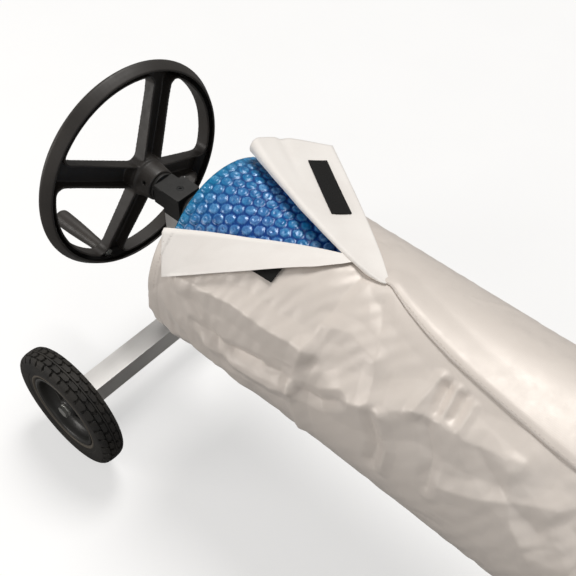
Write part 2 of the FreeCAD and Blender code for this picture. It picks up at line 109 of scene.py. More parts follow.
# ---------- materials
class Shader:
    """A material under construction: short calls add nodes and return their output sockets."""

    def __init__(self, name):
        self.material = bpy.data.materials.new(name)
        self.material.use_nodes = True
        self.tree = self.material.node_tree
        self.bsdf = self.tree.nodes["Principled BSDF"]
        self.place = self.add("ShaderNodeTexCoord").outputs["Object"]

    def add(self, kind, settings=None, **inputs):
        node = self.tree.nodes.new(kind)
        for key, value in (settings or {}).items():
            setattr(node, key, value)
        for key, value in inputs.items():
            self.set(node.inputs[key.replace("_", " ")], value)
        return node

    def set(self, socket, value):
        if isinstance(value, bpy.types.NodeSocket):
            self.tree.links.new(value, socket)
        else:
            socket.default_value = value

    def finish(self, **inputs):
        for key, value in inputs.items():
            self.set(self.bsdf.inputs[key.replace("_", " ")], value)
        return self.material

    def scaled(self, x, y, z):
        return self.add("ShaderNodeMapping", Vector=self.place, Scale=(x, y, z)).outputs["Vector"]

    def uv(self, x=1.0, y=1.0):
        flat = self.add("ShaderNodeUVMap", {"uv_map": "cloth"}).outputs["UV"]
        return self.add("ShaderNodeMapping", Vector=flat, Scale=(x, y, 1)).outputs["Vector"]

    def noise(self, scale, detail=4.0, roughness=0.55, vector=None):
        node = self.add("ShaderNodeTexNoise", Scale=scale, Detail=detail, Roughness=roughness)
        self.set(node.inputs["Vector"], vector or self.place)
        return node.outputs["Fac"]

    def bands(self, direction, vector, scale, distortion, **inputs):
        node = self.add("ShaderNodeTexWave", {"bands_direction": direction}, Vector=vector, Scale=scale,
                        Distortion=distortion, **inputs)
        return node.outputs["Fac"]

    def stored(self, name):
        return self.add("ShaderNodeAttribute", {"attribute_name": name}).outputs["Fac"]

    def ramp(self, fac, *stops):
        """stops are (position, colour or grey)."""
        node = self.add("ShaderNodeValToRGB", Fac=fac)
        elements = node.color_ramp.elements
        while len(elements) < len(stops):
            elements.new(0.5)
        for element, (position, colour) in zip(elements, stops):
            element.position = position
            grey = isinstance(colour, (int, float))
            element.color = (colour, colour, colour, 1) if grey else (*colour, 1)
        return node.outputs["Color"]

    def mix(self, fac, a, b, blend="MIX"):
        node = self.add("ShaderNodeMix", {"data_type": "RGBA", "blend_type": blend})
        for index, value in ((0, fac), (6, a), (7, b)):
            if isinstance(value, tuple):
                value = (*value, 1)
            self.set(node.inputs[index], value)
        return node.outputs[2]

    def math(self, operation, a, b=0.0):
        node = self.add("ShaderNodeMath", {"operation": operation})
        self.set(node.inputs[0], a)
        self.set(node.inputs[1], b)
        return node.outputs[0]

    def bump(self, height, strength, distance, below=None):
        node = self.add("ShaderNodeBump", Height=height, Strength=strength, Distance=distance)
        if below is not None:
            self.set(node.inputs["Normal"], below)
        return node.outputs["Normal"]


def moulded_plastic(name, colour, dust, roughness, grain):
    """Satin moulded plastic: fine grain, faint flow marks, and dust that lightens it in patches."""
    s = Shader(name)
    patches = s.ramp(s.noise(7, 6, 0.6), (0.35, 0.0), (0.75, 1.0))
    fine = s.noise(grain, 2, 0.5)
    marks = s.noise(60, 4, 0.7)
    base = s.mix(s.math("MULTIPLY", patches, 0.5), colour, dust)
    base = s.mix(s.math("MULTIPLY", fine, 0.25), base, tuple(c * 1.6 for c in colour))
    rough = s.ramp(marks, (0.3, roughness - 0.06), (0.7, roughness + 0.08))
    normal = s.bump(fine, 0.25, 0.0003, s.bump(marks, 0.05, 0.001))
    return s.finish(Base_Color=base, Roughness=rough, Normal=normal)


def extruded_aluminium(name, colour, roughness, axis):
    """Mill-finish aluminium: fine die lines along the bar's axis, and soft handling smears."""
    s = Shader(name)
    across, along = 900.0, 6.0
    scale = [across] * 3
    scale[axis] = along
    lines = s.noise(1.0, 3, 0.6, s.scaled(*scale))
    smears = s.noise(9, 5, 0.6)
    base = s.mix(smears, tuple(c * 0.86 for c in colour), colour)
    base = s.mix(s.math("MULTIPLY", lines, 0.3), base, tuple(min(1.0, c * 1.12) for c in colour))
    rough = s.ramp(smears, (0.3, roughness), (0.7, roughness + 0.14))
    return s.finish(Base_Color=base, Metallic=0.85, Roughness=rough, Normal=s.bump(lines, 0.12, 0.0002))


def metal(name, colour, roughness):
    """Plated or turned steel with fine scratches and a little dulling."""
    s = Shader(name)
    scratches = s.noise(260, 6, 0.75)
    dull = s.noise(35, 4, 0.6)
    base = s.mix(s.math("MULTIPLY", dull, 0.25), colour, tuple(c * 0.55 for c in colour))
    rough = s.ramp(scratches, (0.3, roughness), (0.75, roughness + 0.22))
    return s.finish(Base_Color=base, Metallic=1.0, Roughness=rough, Normal=s.bump(scratches, 0.08, 0.0004))


def tyre_rubber():
    """Matte rubber with a dusty bloom and a pitted surface."""
    s = Shader("tyre_rubber")
    bloom = s.ramp(s.noise(16, 6, 0.65), (0.38, 0.0), (0.72, 1.0))
    pits = s.noise(520, 3, 0.6)
    base = s.mix(s.math("MULTIPLY", bloom, 0.65), (0.008, 0.0072, 0.0062), (0.034, 0.029, 0.022))
    bead = s.stored("bead")
    base = s.mix(s.math("MULTIPLY", bead, 0.7), base, (0.135, 0.115, 0.090))
    rough = s.ramp(pits, (0.2, 0.62), (0.8, 0.88))
    return s.finish(Base_Color=base, Roughness=rough, Normal=s.bump(pits, 0.35, 0.0005))


def cover_outside():
    """Pearl silver coated woven polyethylene: flat tapes crossing, crinkle marks and a soft sheen."""
    s = Shader("cover_outside")
    tapes = 110.0
    weave_u = s.bands("X", s.uv(), tapes, 0.4, Detail=1.0)
    weave_v = s.bands("Y", s.uv(), tapes, 0.4, Detail=1.0)
    weave = s.math("MULTIPLY", weave_u, weave_v)
    scuff = s.noise(26, 8, 0.72, s.uv())
    tint = s.noise(3.2, 3, 0.5, s.uv())
    base = s.mix(tint, (0.680, 0.605, 0.540), (0.735, 0.670, 0.612))
    base = s.mix(s.math("MULTIPLY", scuff, 0.30), base, (0.810, 0.760, 0.712))
    rough = s.ramp(scuff, (0.30, 0.38), (0.72, 0.54))
    normal = s.bump(weave, 0.10, 0.0004)
    normal = s.bump(scuff, 0.12, 0.0025, normal)
    return s.finish(Base_Color=base, Metallic=0.08, Roughness=rough, Sheen_Weight=0.2, Sheen_Roughness=0.4,
                    Coat_Weight=0.06, Coat_Roughness=0.35, Normal=normal)


def cover_inside():
    """Plain white inner face of the same fabric."""
    s = Shader("cover_inside")
    weave = s.bands("X", s.uv(), 480.0, 0.4)
    soft = s.noise(9, 6, 0.6, s.uv())
    base = s.mix(s.ramp(soft, (0.3, 0.0), (0.7, 1.0)), (0.850, 0.805, 0.760), (0.925, 0.888, 0.845))
    normal = s.bump(soft, 0.12, 0.004, s.bump(weave, 0.08, 0.0004))
    return s.finish(Base_Color=base, Roughness=0.55, Sheen_Weight=0.15, Normal=normal)


def blanket_film():
    """Translucent blue bubble film: deep blue between bubbles, lighter cyan rims round each bubble, and painted
    highlights (pale blue flecks) on the rims.
    """
    s = Shader("blanket_film")
    height, edge = s.stored("bubble"), s.stored("edge")
    drift = s.noise(6, 4, 0.6)
    deep = s.mix(drift, (0.000, 0.022, 0.150), (0.001, 0.068, 0.310))
    rim = s.ramp(height, (0.0, 0.0), (0.12, 0.25), (0.45, 1.0), (0.78, 0.45), (1.0, 0.2))
    cloudy = s.ramp(s.noise(13, 3, 0.6), (0.35, 0.0), (0.65, 1.0))
    pale = s.mix(cloudy, (0.015, 0.310, 0.580), (0.150, 0.360, 0.720))
    base = s.mix(s.math("MULTIPLY", rim, 0.62), deep, pale)
    # painted highlight: noise-placed pale blue flecks on the bubble rims stand in for reflected light
    painted_glints = s.ramp(s.noise(62, 5, 0.7), (0.50, 0.0), (0.62, 1.0))
    base = s.mix(s.math("MULTIPLY", painted_glints, s.math("MULTIPLY", rim, 0.5)), base, (0.340, 0.620, 0.920))
    base = s.mix(s.math("MULTIPLY", edge, 0.6), base, (0.008, 0.270, 0.420))
    fine = s.noise(210, 3, 0.6)
    rough = s.ramp(s.noise(70, 3, 0.6), (0.35, 0.14), (0.65, 0.32))
    return s.finish(Base_Color=base, Roughness=rough, IOR=1.45, Normal=s.bump(fine, 0.30, 0.0012),
                    Specular_IOR_Level=0.6, Specular_Tint=(0.62, 0.78, 1.0, 1),
                    Coat_Weight=0.40, Coat_Tint=(0.70, 0.86, 1.0, 1), Coat_Roughness=0.24,
                    Subsurface_Weight=0.12, Subsurface_Scale=0.006, Subsurface_Radius=(0.2, 0.6, 1.0))


def hook_and_loop():
    """Black fuzzy hook-and-loop tape with a faint rib along it."""
    s = Shader("hook_and_loop")
    fuzz = s.noise(900, 3, 0.8, s.uv())
    ribs = s.bands("X", s.uv(), 160.0, 1.0)
    base = s.mix(fuzz, (0.004, 0.004, 0.004), (0.016, 0.015, 0.014))
    normal = s.bump(fuzz, 0.8, 0.0015, s.bump(ribs, 0.25, 0.0008))
    return s.finish(Base_Color=base, Roughness=0.95, Specular_IOR_Level=0.25, Sheen_Weight=0.04,
                    Normal=normal)


def webbing():
    """White woven strap with a twill."""
    s = Shader("strap_webbing")
    twill = s.bands("DIAGONAL", s.place, 420.0, 0.5)
    base = s.mix(twill, (0.55, 0.55, 0.53), (0.78, 0.78, 0.75))
    return s.finish(Base_Color=base, Roughness=0.8, Sheen_Weight=0.3, Normal=s.bump(twill, 0.5, 0.0006))


MOULDINGS = {    # name: colour, dust colour, roughness, grain
    "handwheel_plastic": ((0.020, 0.017, 0.0145), (0.060, 0.050, 0.042), 0.50, 900),
    "grip_plastic": ((0.026, 0.022, 0.019), (0.066, 0.056, 0.047), 0.48, 900),
    "black_moulding": ((0.0060, 0.0055, 0.0050), (0.022, 0.020, 0.016), 0.60, 1400),
    "hub_plastic": ((0.016, 0.0155, 0.014), (0.060, 0.055, 0.045), 0.36, 900),
    "bush_plastic": ((0.62, 0.61, 0.57), (0.70, 0.69, 0.66), 0.35, 900),
}
EXTRUSIONS = {    # name: colour, roughness, axis the bar runs along
    "bar_aluminium": ((0.82, 0.80, 0.775), 0.38, 1),
    "upright_aluminium": ((0.82, 0.80, 0.775), 0.38, 2),
    "tube_aluminium": ((0.72, 0.71, 0.70), 0.30, 0),
    "bracket_aluminium": ((0.62, 0.62, 0.61), 0.40, 0),
}
METALS = {    # name: colour, roughness
    "zinc_steel": ((0.60, 0.60, 0.57), 0.30),
    "shaft_steel": ((0.48, 0.48, 0.47), 0.26),
    "black_screw": ((0.045, 0.045, 0.045), 0.40),
}
M = {
    **{name: moulded_plastic(name, *values) for name, values in MOULDINGS.items()},
    **{name: extruded_aluminium(name, *values) for name, values in EXTRUSIONS.items()},
    **{name: metal(name, *values) for name, values in METALS.items()},
    "tyre_rubber": tyre_rubber(),
    "cover_fabric": cover_outside(),
    "cover_inside": cover_inside(),
    "blanket_film": blanket_film(),
    "hook_and_loop": hook_and_loop(),
    "strap_webbing": webbing(),
}
OWN_GRAIN = {
    "near_upright": "upright_aluminium", "far_upright": "upright_aluminium", "reel_tube": "tube_aluminium",
}


def dress_cad_nodes():
    """Gives each CAD node its material and a small softened edge."""
    slot_of = {p["node"]: p["material_slot"] for p in frame["record"]["subparts"]}
    for name, piece in frame["nodes"].items():
        material = M[OWN_GRAIN.get(name, slot_of[name])]
        piece.data.materials.clear()
        piece.data.materials.append(material)
        weld = piece.modifiers.new("weld", "WELD")
        weld.merge_threshold = 0.00001
        bevel = piece.modifiers.new("edge", "BEVEL")
        bevel.width = 0.0006
        bevel.segments = 2
        bevel.angle_limit = math.radians(38)
        bevel.harden_normals = True


# ---------- rounded mouldings
def rounded_copy(node, voxel, passes, material, body):
    """A moulded stand-in for a CAD node: the same shape with its edges softened by remeshing."""
    source = frame["nodes"][node]
    piece = added(node + "_moulding", source.data.copy())
    remesh = piece.modifiers.new("remesh", "REMESH")
    remesh.mode = "VOXEL"
    remesh.voxel_size = voxel
    soften = piece.modifiers.new("soften", "SMOOTH")
    soften.factor = 0.5
    soften.iterations = passes
    apply_modifiers(piece)
    piece.data.materials.clear()
    piece.data.materials.append(material)
    smooth(piece)
    stand_in(piece, node, body)


# ---------- fabric sleeve
# The sleeve is laid out by how far a point is along it from its near end (mm) and by its angle
# about the sleeve's axis (degrees from +Y through +Z). At the near end two corners are folded back.
COVER_R = 187.0
COVER_Y = SLEEVE_LOW.y / MM + COVER_R
COVER_Z = SLEEVE_LOW.z / MM + COVER_R
COVER_START = SLEEVE_LOW.x / MM
COVER_LENGTH = (SLEEVE_HIGH.x - SLEEVE_LOW.x) / MM
PER_DEGREE = COVER_R * math.pi / 180
LIFT_ANGLE = 80.0            # beyond this line the back flap stands straight out
OVER, UNDER, TUCK = 1.4, 1.0, 0.8   # back panel up, front panel in, dip along the lapped edge
CLEAR_R = 159.0              # the laid-out sheet comes no nearer the reel axis than this

FRONT_FOLD_END, BACK_FOLD_END = 332.0, 390.0
FRONT_FOLD = ((0, 133.8), (74, 123.5), (148, 114.0), (217, 103.9), (285, 94.0), (FRONT_FOLD_END, 87.5))
FRONT_EDGE = ((FRONT_FOLD_END, 87.5), (430, 82), (700, 80), (COVER_LENGTH, 80))
BACK_FOLD = ((0, 62.5), (40, 68.5), (84, 74.3), (172, 84.2), (247, 90.4), (285, 93.2), (320, 95.2),
             (350, 96.4), (372, 96.2), (BACK_FOLD_END, 94.5))
BACK_EDGE = ((BACK_FOLD_END, 94.5), (404, 96.6), (436, 100.8), (483, 105.4), (537, 109.3), (579, 111.3),
             (646, 114.2), (725, 117.3), (860, 121), (1100, 122), (COVER_LENGTH, 121))
FRONT_FLAP_EDGE = ((41, 156), (102, 144.3), (182, 128.2), (277, 107.6), (307, 98.6), (FRONT_FOLD_END, 87.5))
BACK_FLAP_CORNER = (93.0, 25.6)           # along, and degrees round as if it still lay on the sleeve
BACK_FLAP_RISE = ((0, 18), (84, 16), (172, 13), (247, 10), (304, 8), (355, 6), (BACK_FOLD_END, 3))
FRONT_FLAP_ROLL = ((0, 3.2), (200, 2.2), (FRONT_FOLD_END, 0.8))
FRONT_FLAP_SHARES = (0, 0.27, 0.5, 0.8, 0.9, 1)    # how far down the fold each edge point belongs
HOOK_STRIP_MIDDLE = (169.0, LIFT_ANGLE - 72 / PER_DEGREE)
HOOK_STRIP_HALF, HOOK_STRIP_TURN = (76.0, 18.0), -35.0
LOOP_STRIP_CORNERS = ((228, 126), (230, 116.5), (162, 117.5), (160, 127))
STRIP_LENGTH, STRIP_WIDTH = 120.0, 36.0

# Creases: points (along, angle), then height and half width in mm.
CREASES = (
    (((397, 92), (436, 97), (483, 101.5), (537, 105.5), (579, 108), (646, 111), (725, 114), (860, 118),
      (COVER_LENGTH, 118)), 7.0, 42),
    (((60, 152), (190, 145.6), (267, 145.5), (332, 143)), 10.0, 34),
    (((332, 143), (336, 133), (341, 118), (339, 108), (342, 98)), -4.0, 20),
    (((334, 143.5), (343, 128), (386, 124), (443, 128)), 4.5, 24),
    (((332, 163), (338, 143)), 7.0, 26),
    (((338, 164), (350, 176), (366, 192)), 9.5, 30),
    (((208, 172), (281, 167), (332, 161)), -9.0, 24),
    (((120, 172), (208, 173), (263, 167.5)), -6.0, 18),
    (((150, 180), (230, 180), (300, 176), (340, 168)), 7.0, 22),
    (((356, 164), (395, 162), (424, 154)), -8.0, 20),
    (((423, 153), (484, 147), (532, 136), (563, 134), (619, 133.5), (700, 128)), 12.0, 46),
    (((534, 136), (539, 118)), 6.5, 16),
    (((562, 131), (554, 119)), -7.0, 14),
    (((572, 128), (568, 118)), 5.0, 12),
    (((588, 129), (583, 119)), -6.0, 13),
    (((604, 131), (601, 120)), 4.5, 12),
    (((480, 150), (507, 164), (505, 176)), -6.5, 20),
    (((494, 148), (524, 162), (528, 176)), 5.5, 18),
    (((562, 138), (590, 151), (600, 166)), -6.0, 20),
    (((607, 167), (616, 161), (668, 154), (718, 144), (763, 136)), 4.5, 26),
    (((640, 134), (700, 144), (760, 150)), -5.0, 30),
    (((690, 134), (720, 152), (770, 164)), 6.0, 30),
    (((800, 140), (850, 150), (930, 150)), -6.0, 34),
    (((100, 160), (160, 171), (189, 181)), -5.0, 22),
    (((430, 118), (452, 130), (470, 146)), 4.5, 24),
    (((398, 104), (418, 112), (436, 124)), -3.5, 20),
    (((6, 205), (110, 196), (220, 200)), 5.0, 36),
    (((0, 190), (50, 200), (60, 225)), 4.0, 26),
)
# Folds of the crumpled look: heading (radians), pitch, size and start (mm).
CRUMPLES = ((0.5, 170, 9, 10), (2.0, 130, 7, 40), (1.2, 205, 9, 75), (2.7, 96, 5, 20), (0.1, 118, 4, 55))
HEM, HEM_STEP = 22.0, 1.0     # width of the turned-in hem at both ends, and how far it stands up
SETTLE_FRAMES = 30


def along_curve(curve, along):
    return np.interp(along, [p[0] for p in curve], [p[1] for p in curve])


def to_segment(x, y, x0, y0, x1, y1):
    """Distance of points from a straight segment."""
    dx, dy = x1 - x0, y1 - y0
    t = np.clip(((x - x0) * dx + (y - y0) * dy) / (dx * dx + dy * dy), 0, 1)
    return np.hypot(x - x0 - t * dx, y - y0 - t * dy)


def crease_height(along, angle, points, height, half_width):
    """Tent-shaped ridge or groove along a line: nearly flat flanks and a slightly rounded crest."""
    x, y = along, angle * PER_DEGREE
    near = np.full(x.shape, 1e9)
    for (a0, t0), (a1, t1) in zip(points, points[1:]):
        near = np.minimum(near, to_segment(x, y, a0, t0 * PER_DEGREE, a1, t1 * PER_DEGREE))
    return height * np.maximum(0, 1 - np.sqrt((near / half_width) ** 2 + 0.002)) ** 1.25


def small_creases(seed, count):
    """Bent random creases over the whole sleeve, mostly slanting across it."""
    rng = np.random.default_rng(seed)
    found = []
    for _ in range(count):
        along, angle = rng.uniform(0, COVER_LENGTH), rng.uniform(75, 435)
        slant = rng.choice([-1, 1]) * rng.uniform(0.35, 1.35)
        reach = rng.uniform(35, 130)
        bend = rng.uniform(-0.35, 0.35)
        points = []
        for step, turn in ((-1, -bend), (0, 0), (1, bend)):
            points.append((along + step * reach * math.cos(slant + turn),
                           angle + step * reach * math.sin(slant + turn) / PER_DEGREE))
        height = rng.choice([-1, 1]) * rng.uniform(0.8, 3.0)
        found.append((tuple(points), height, rng.uniform(9, 26)))
    return found


SMALL_CREASES = small_creases(11, 60)


def crumpled(along, angle):
    """Flat facets that meet at sharp folds, as in stiff coated cloth, stronger in some places."""
    x, y = along, angle * PER_DEGREE
    x, y = x + 20 * np.sin(y / 83 + 0.5), y + 20 * np.sin(x / 97)
    height = np.zeros(np.shape(along))
    for heading, pitch, size, start in CRUMPLES:
        across = x * math.cos(heading) + y * math.sin(heading) + start
        wave = np.abs(across / pitch % 2 - 1) - 0.5
        height = np.abs(height + size * wave) - size / 4
    patchy = np.sin(along / 71 + angle / 19) * np.sin(along / 113 - angle / 13 + 1.2) + 0.35
    front = np.exp(-((angle - 158) / 34) ** 2) * (0.45 + 0.55 * np.clip((along - 540) / 160, 0, 1))
    return height * np.clip(patchy, 0.25, 1) * (0.15 + 0.85 * front)


def creased(along, angle):
    """Height of all creases, in mm, at places on the sleeve."""
    round_once = np.where(angle > 430, angle - 360, angle)
    total = crumpled(along, round_once)
    for points, height, half_width in CREASES:
        total += crease_height(along, round_once, points, height, half_width)
    for points, height, half_width in SMALL_CREASES:
        total += 0.7 * crease_height(along, round_once, points, height, half_width)
    below_flap = round_once - along_curve(FRONT_FLAP_EDGE, along)
    calm = np.clip((below_flap + 4) / 14, 0, 1) + np.clip((along - 300) / 40, 0, 1)
    in_hem = (along < HEM) | (along > COVER_LENGTH - HEM)
    return total * np.clip(calm, 0.15, 1) + HEM_STEP * in_hem


def broad_shape(along, angle):
    """How far the fabric stands off its round shape over broad stretches, in mm."""
    a = np.radians(angle)
    sag = 5.0 * np.exp(-((angle - 268) / 40) ** 2)
    slack = 9.0 * np.exp(-((angle - 50) / 24) ** 2 - ((along - 300) / 95) ** 2)
    return 2.0 * np.sin(3 * a + along / 210) + 0.9 * np.sin(5 * a - along / 130 + 1) + sag - slack


def on_sleeve(along, angle, off):
    """Point of the sleeve's surface, standing off it, pushed clear of the roll inside."""
    a = np.radians(angle)
    r = COVER_R + off
    x = COVER_START + along
    y = COVER_Y + r * np.cos(a)
    z = COVER_Z + r * np.sin(a)
    from_reel = np.hypot(y, z - REEL_Z / MM)
    push = np.maximum(1.0, (CLEAR_R + np.maximum(0, off) * 0.1) / from_reel)
    return np.stack(np.broadcast_arrays(x, y * push, REEL_Z / MM + (z - REEL_Z / MM) * push), -1)


def on_back_flap(along, angle, off):
    """The same, but straight out from the lift line for angles behind it."""
    held = np.maximum(angle, LIFT_ANGLE)
    base = on_sleeve(along, held, off)
    out = (held - angle) * PER_DEGREE
    a = math.radians(LIFT_ANGLE)
    return base + np.multiply.outer(out, np.array([0, math.sin(a), -math.cos(a)]))


def layer_off(along, angle):
    """Offset of the panels from the sleeve's middle surface where one lies over the other."""
    over = np.clip((angle - 385) / 45, 0, 1)
    under = np.clip((150 - angle) / 40, 0, 1) * np.clip((along - 250) / 80, 0, 1)
    past_edge = angle - along_curve(BACK_EDGE, along)
    tuck = np.exp(-((past_edge - 7) / 6) ** 2) * np.clip((along - 400) / 100, 0, 1)
    return OVER * over - UNDER * under - TUCK * tuck * (angle < 200)


def end_shift(along, angle):
    """Slight unevenness of the near end's hem."""
    fade = np.clip(1 - along / 120, 0, 1)
    a = np.radians(angle)
    return fade * (1.2 * np.sin(7 * a) - 4.5 * np.sin(2 * a))


def fold_arc(low, high, outward, steps):
    """Half turn from low to high, bulging outward, without its two end points."""
    middle, half = (low + high) / 2, (high - low) / 2
    half_length = np.linalg.norm(half)
    axis = half / half_length
    bulge = outward - axis * outward.dot(axis)
    bulge = bulge / np.linalg.norm(bulge) * half_length
    turns = np.linspace(0, math.pi, steps + 2)[1:-1]
    return [middle - half * math.cos(t) + bulge * math.sin(t) for t in turns]


def refine(mesh):
    """Splits the faces where folds show most, so that their crests stay sharp."""
    work = bmesh.new()
    work.from_mesh(mesh)
    along, angle = work.verts.layers.float["along"], work.verts.layers.float["angle"]
    low_along, high_along, low_angle, high_angle = 10.0, 830.0, 90.0, 205.0

    def creased_here(face):
        return all(low_along < v[along] < high_along and low_angle < v[angle] < high_angle
                   for v in face.verts)

    edges = [edge for edge in work.edges if any(creased_here(face) for face in edge.link_faces)]
    bmesh.ops.subdivide_edges(work, edges=edges, cuts=1, use_grid_fill=True)
    work.to_mesh(mesh)
    work.free()


def crease_cover(mesh):
    """Adds the creases to the settled sheet and keeps it clear of the roll inside."""
    count = len(mesh.vertices)
    along, angle, share = (np.zeros(count, np.float32) for _ in range(3))
    for name, values in (("along", along), ("angle", angle), ("share", share)):
        mesh.attributes[name].data.foreach_get("value", values)
    points = np.zeros(count * 3, np.float32)
    mesh.vertices.foreach_get("co", points)
    points = points.reshape(-1, 3).astype(float)
    a = np.radians(angle)
    radial = np.stack([np.zeros(count), np.cos(a), np.sin(a)], -1)
    points += radial * (creased(along, angle) * share * MM)[:, None]
    from_reel = np.hypot(points[:, 1], points[:, 2] - REEL_Z)
    least = (CLEAR_R + 2.0 * (angle > 430) * share + 1.0 * (angle > 360)) * MM
    push = np.maximum(1.0, least / from_reel)
    points[:, 1] *= push
    points[:, 2] = REEL_Z + (points[:, 2] - REEL_Z) * push
    mesh.vertices.foreach_set("co", points.astype(np.float32).ravel())
    mesh.update()


def settle(piece, pins):
    """Lets slightly oversized fabric buckle and settle on a round form just inside it."""
    group = piece.vertex_groups.new(name="held")
    for index, weight in enumerate(pins):
        if weight > 0.001:
            group.add([index], float(weight), "REPLACE")
    turns, stations = 96, 50
    form_r = COVER_R - 5
    points, faces = [], []
    for i in range(stations + 1):
        for k in range(turns):
            a = 2 * math.pi * k / turns
            points.append((COVER_START - 5 + (COVER_LENGTH + 10) * i / stations,
                           COVER_Y + form_r * math.cos(a), COVER_Z + form_r * math.sin(a)))
    for i in range(stations):
        faces += ring_faces(i * turns, (i + 1) * turns, turns)
    form = shown("form", np.array(points) * MM, faces)
    form.modifiers.new("contact", "COLLISION")
    form.collision.thickness_outer = 0.002
    form.collision.cloth_friction = 12

    cloth = piece.modifiers.new("settle", "CLOTH")
    fabric = cloth.settings
    fabric.quality = 5
    fabric.mass = 0.05
    fabric.tension_stiffness = fabric.compression_stiffness = 25
    fabric.shear_stiffness = 12
    fabric.bending_stiffness = 6.0
    fabric.air_damping = 2.5
    fabric.shrink_min = -0.008
    fabric.vertex_group_mass = "held"
    fabric.pin_stiffness = 1.0
    cloth.collision_settings.distance_min = 0.002
    cloth.collision_settings.use_self_collision = False
    cloth.point_cache.frame_start, cloth.point_cache.frame_end = 1, SETTLE_FRAMES
    for step in range(1, SETTLE_FRAMES + 1):
        bpy.context.scene.frame_set(step)
    apply_modifiers(piece)
    bpy.context.scene.frame_set(1)
    bpy.data.objects.remove(form)


def make_cover():
    """The sleeve as one sheet: the wrapped part, and a grid for each folded corner."""
    fine, coarse, fine_end, rows = 8.5, 22.0, 825.0, 126
    columns = np.concatenate([np.arange(0, fine_end, fine),
                              np.linspace(fine_end, COVER_LENGTH, int((COVER_LENGTH - fine_end) / coarse))])
    roll, rise = along_curve(FRONT_FLAP_ROLL, columns), along_curve(BACK_FLAP_RISE, columns)
    has_front, has_back = columns <= FRONT_FOLD_END, columns <= BACK_FOLD_END
    first = np.where(has_front, along_curve(FRONT_FOLD, columns) + roll / PER_DEGREE,
                     along_curve(FRONT_EDGE, columns))
    lifted = np.radians(np.clip(LIFT_ANGLE - along_curve(BACK_FOLD, columns), 0, 40))
    plane_gap = np.maximum(0, COVER_R / np.cos(lifted) - COVER_R)
    last = np.where(has_back, along_curve(BACK_FOLD, columns) - (rise + plane_gap) / 2 / PER_DEGREE,
                    along_curve(BACK_EDGE, columns)) + 360

    part = np.linspace(0, 1, rows)[:, None]
    angle = first + (last - first) * part
    along = np.broadcast_to(columns, angle.shape)
    off = broad_shape(along, angle) + layer_off(along, angle)
    points = list(on_sleeve(along + end_shift(along, angle), angle, off).reshape(-1, 3))
    flat = [(a * MM, t * PER_DEGREE * MM) for a, t in zip(along.ravel(), angle.ravel())]
    place = [(a, t, 1.0) for a, t in zip(along.ravel(), angle.ravel())]
    width = len(columns)
    faces = []
    for j in range(rows - 1):
        for i in range(width - 1):
            k = j * width + i
            faces.append((k, k + width, k + width + 1, k + 1))

    def add_flap(members, boundary_row, column_points, column_places, flips):
        """Adds rows of points that continue the sheet from a boundary row of the wrapped part."""
        previous = None
        for i in members:
            start = boundary_row * width + i
            ids = [start]
            run = 0.0
            for point, spot in zip(column_points[i], column_places[i]):
                run += float(np.linalg.norm(point - points[ids[-1]]))
                points.append(point)
                place.append(spot)
                flat.append((flat[start][0], flat[start][1] + (-run if boundary_row == 0 else run) * MM))
                ids.append(len(points) - 1)
            if previous:
                for k in range(len(ids) - 1):
                    quad = (previous[k], ids[k], ids[k + 1], previous[k + 1])
                    faces.append(quad[::-1] if flips else quad)
            previous = ids

    flap_steps, arc_steps = 17, 6
    reach = np.linspace(0, 1, flap_steps + 1)[1:]

    front_points, front_places = {}, {}
    for i in np.flatnonzero(has_front):
        a0, t0 = columns[i], first[i]
        share = a0 / FRONT_FOLD_END
        base = points[i]
        lift = float(off[0, i]) + 2 * roll[i]
        top = on_sleeve(a0 + end_shift(a0, t0), t0, lift)
        rad = math.radians(t0)
        arc = fold_arc(base, top, np.array([0, math.sin(rad), -math.cos(rad)]), arc_steps)
        knot = np.interp(share, FRONT_FLAP_SHARES, [p[0] for p in FRONT_FLAP_EDGE])
        a1, t1 = knot, along_curve(FRONT_FLAP_EDGE, knot)
        a, t = a0 + (a1 - a0) * reach, t0 + (t1 - t0) * reach
        under = broad_shape(a, t) + layer_off(a, t)
        under0 = float(off[0, i])
        hold = 2 * roll[i] * (1 - reach) ** 2 + (1.5 + 6.0 * (1 - share)) * reach ** 1.5 * (share < 0.999)
        height = under0 + (np.maximum(under, under0 - 6) - under0) * np.clip(reach * 2, 0, 1) + hold + 3.6
        flap = on_sleeve(a + end_shift(a0, t0) * (1 - reach), t, height)
        front_points[i] = arc + [top] + list(flap)
        front_places[i] = [(a0, t0, 1.0)] * (arc_steps + 1) + [(x, y, 1.0) for x, y in zip(a, t)]
    add_flap(np.flatnonzero(has_front), 0, front_points, front_places, False)

    back_points, back_places = {}, {}
    corner_along, corner_angle = BACK_FLAP_CORNER
    for i in np.flatnonzero(has_back):
        a0, t0 = columns[i], last[i] - 360
        share = a0 / BACK_FOLD_END
        base = points[(rows - 1) * width + i]
        shift = end_shift(a0, t0)
        under0 = float(off[-1, i])
        top = on_back_flap(a0 + shift, t0, under0 + rise[i])
        rad = math.radians(t0)
        arc = fold_arc(base, top, np.array([0, -math.sin(rad), math.cos(rad)]), arc_steps)
        a1 = corner_along + (BACK_FOLD_END - corner_along) * share
        t1 = corner_angle + (BACK_FOLD[-1][1] - corner_angle) * share
        a, t = a0 + (a1 - a0) * reach, t0 + (t1 - t0) * reach
        a = a + 9 * np.sin(math.pi * share) * reach ** 2 - 80 * reach * (1 - reach) * (1 - share) ** 6
        soft = 2.5 * np.sin(3.1 * reach + 5 * share) * np.sin(math.pi * reach) * (1 - share)
        soft -= 5.5 * np.exp(-((reach - 0.42 + 0.5 * share) / 0.045) ** 2) * max(0.0, 1 - 3.2 * share)
        height = under0 + rise[i] * (1 - reach) ** 2 + (1 + 9 * (1 - share)) * reach + soft
        back_points[i] = arc + [top] + list(on_back_flap(a + shift * (1 - reach), t, height))
        back_places[i] = [(a0, t0 + 360, 1 - k / arc_steps) for k in range(arc_steps + 1)] + \
                         [(x, y, 0.0) for x, y in zip(a, t)]
    add_flap(np.flatnonzero(has_back), rows - 1, back_points, back_places, True)

